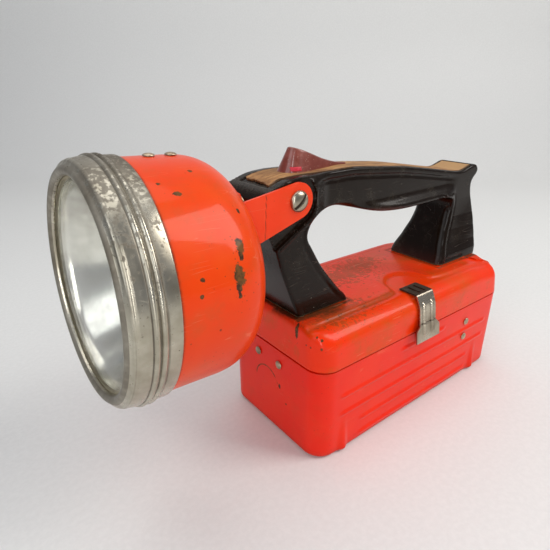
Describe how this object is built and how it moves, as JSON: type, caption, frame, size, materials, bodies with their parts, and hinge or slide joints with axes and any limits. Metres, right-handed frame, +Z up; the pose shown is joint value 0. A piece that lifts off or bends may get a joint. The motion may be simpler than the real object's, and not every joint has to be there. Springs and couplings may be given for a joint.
{
  "type": "flashlight",
  "caption": "Box lantern: steel case with a hinged latching lid, moulded carrying handle with a thumb switch, and a spun lamp head that tilts in a yoke.",
  "frame": {"origin": "middle of the flat bottom of the lower case, on the surface that the lantern stands on", "axes": "+Z up; the beam leaves towards -X at rest; the latch is on the -Y side and the lid's hinge on the +Y side"},
  "size_m": [0.2476, 0.0944, 0.1547],
  "materials": {
    "case_paint": "gloss enamel, worn and scuffed",
    "lid_paint": "gloss enamel, faded, with grime in the creases",
    "bowl_paint": "gloss enamel with chips",
    "yoke_paint": "gloss enamel",
    "handle_plastic": "glossy moulding, lightly scuffed",
    "strip_card": "dry, fibrous, torn at its front end",
    "knob_plastic": "worn gloss",
    "mark_red": "satin",
    "latch_steel": "bright spring steel, scratched",
    "bezel_steel": "bright plate, dulled and pitted",
    "lens_glass": "clear",
    "black_rubber": "matt",
    "reflector_mirror": "polished",
    "screw_steel": "bright plate, worn slot",
    "rivet_steel": "bright, dull edges",
    "plain_steel": "plain plate",
    "contact_brass": "slightly tarnished",
    "battery_wrapper": "satin wrapper",
    "board_fibre": "brown pressed fibre"
  },
  "bodies": {
    "case": {"lower_case": "case_paint", "front_rivet_1": "rivet_steel", "front_rivet_2": "rivet_steel", "side_rivet_1": "rivet_steel", "side_rivet_2": "rivet_steel", "catch_keeper": "plain_steel", "battery_spring_leaf": "plain_steel", "battery_liner": "board_fibre", "battery_block": "battery_wrapper", "battery_terminal_centre": "plain_steel", "battery_terminal_corner": "plain_steel", "contact_board": "board_fibre", "contact_plate_centre": "contact_brass", "contact_plate_corner": "contact_brass", "board_bracket": "plain_steel", "hinge_leaf_case": "plain_steel", "hinge_pin": "plain_steel"},
    "lid": {"lid_shell": "lid_paint", "hinge_leaf_lid": "plain_steel", "handle_moulding": "handle_plastic", "handle_strip": "strip_card", "handle_screw_1": "plain_steel", "handle_screw_2": "plain_steel", "handle_screw_3": "plain_steel", "handle_screw_4": "plain_steel", "pivot_screw_near": "screw_steel", "pivot_screw_far": "screw_steel", "switch_leaf": "contact_brass"},
    "latch": {"latch_clip": "latch_steel"},
    "switch": {"switch_knob": "knob_plastic", "switch_mark": "mark_red"},
    "head": {"bowl": "bowl_paint", "bowl_rivet_1": "rivet_steel", "bowl_rivet_2": "rivet_steel", "bezel_clip": "plain_steel", "yoke": "yoke_paint", "yoke_rivet_1": "rivet_steel", "yoke_rivet_2": "rivet_steel", "wire_grommet": "black_rubber", "reflector": "reflector_mirror", "bulb_holder": "contact_brass", "bulb_cap": "contact_brass", "bulb_glass": "lens_glass", "bulb_contact": "contact_brass"},
    "bezel": {"bezel_ring": "bezel_steel", "lens": "lens_glass", "lens_gasket": "black_rubber"}
  },
  "joints": [
    {"name": "lid_hinge", "type": "hinge", "parent": "case", "child": "lid", "pos_m": [0, 0.04, 0.05155], "axis": [-1, 0, 0], "range_deg": [0, 95]},
    {"name": "latch_hinge", "type": "hinge", "parent": "lid", "child": "latch", "pos_m": [-0.0035, -0.0243, 0.0727], "axis": [-1, 0, 0], "range_deg": [0, 70]},
    {"name": "switch_slide", "type": "slide", "parent": "lid", "child": "switch", "axis": [-1, 0, 0], "range_m": [0, 0.008]},
    {"name": "head_tilt", "type": "hinge", "parent": "lid", "child": "head", "pos_m": [-0.077, 0, 0.1298], "axis": [0, 1, 0], "range_deg": [-15, 60]},
    {"name": "bezel_pull", "type": "slide", "parent": "head", "child": "bezel", "axis": [-0.999, 0, 0.0454], "range_m": [0, 0.025]}
  ]
}
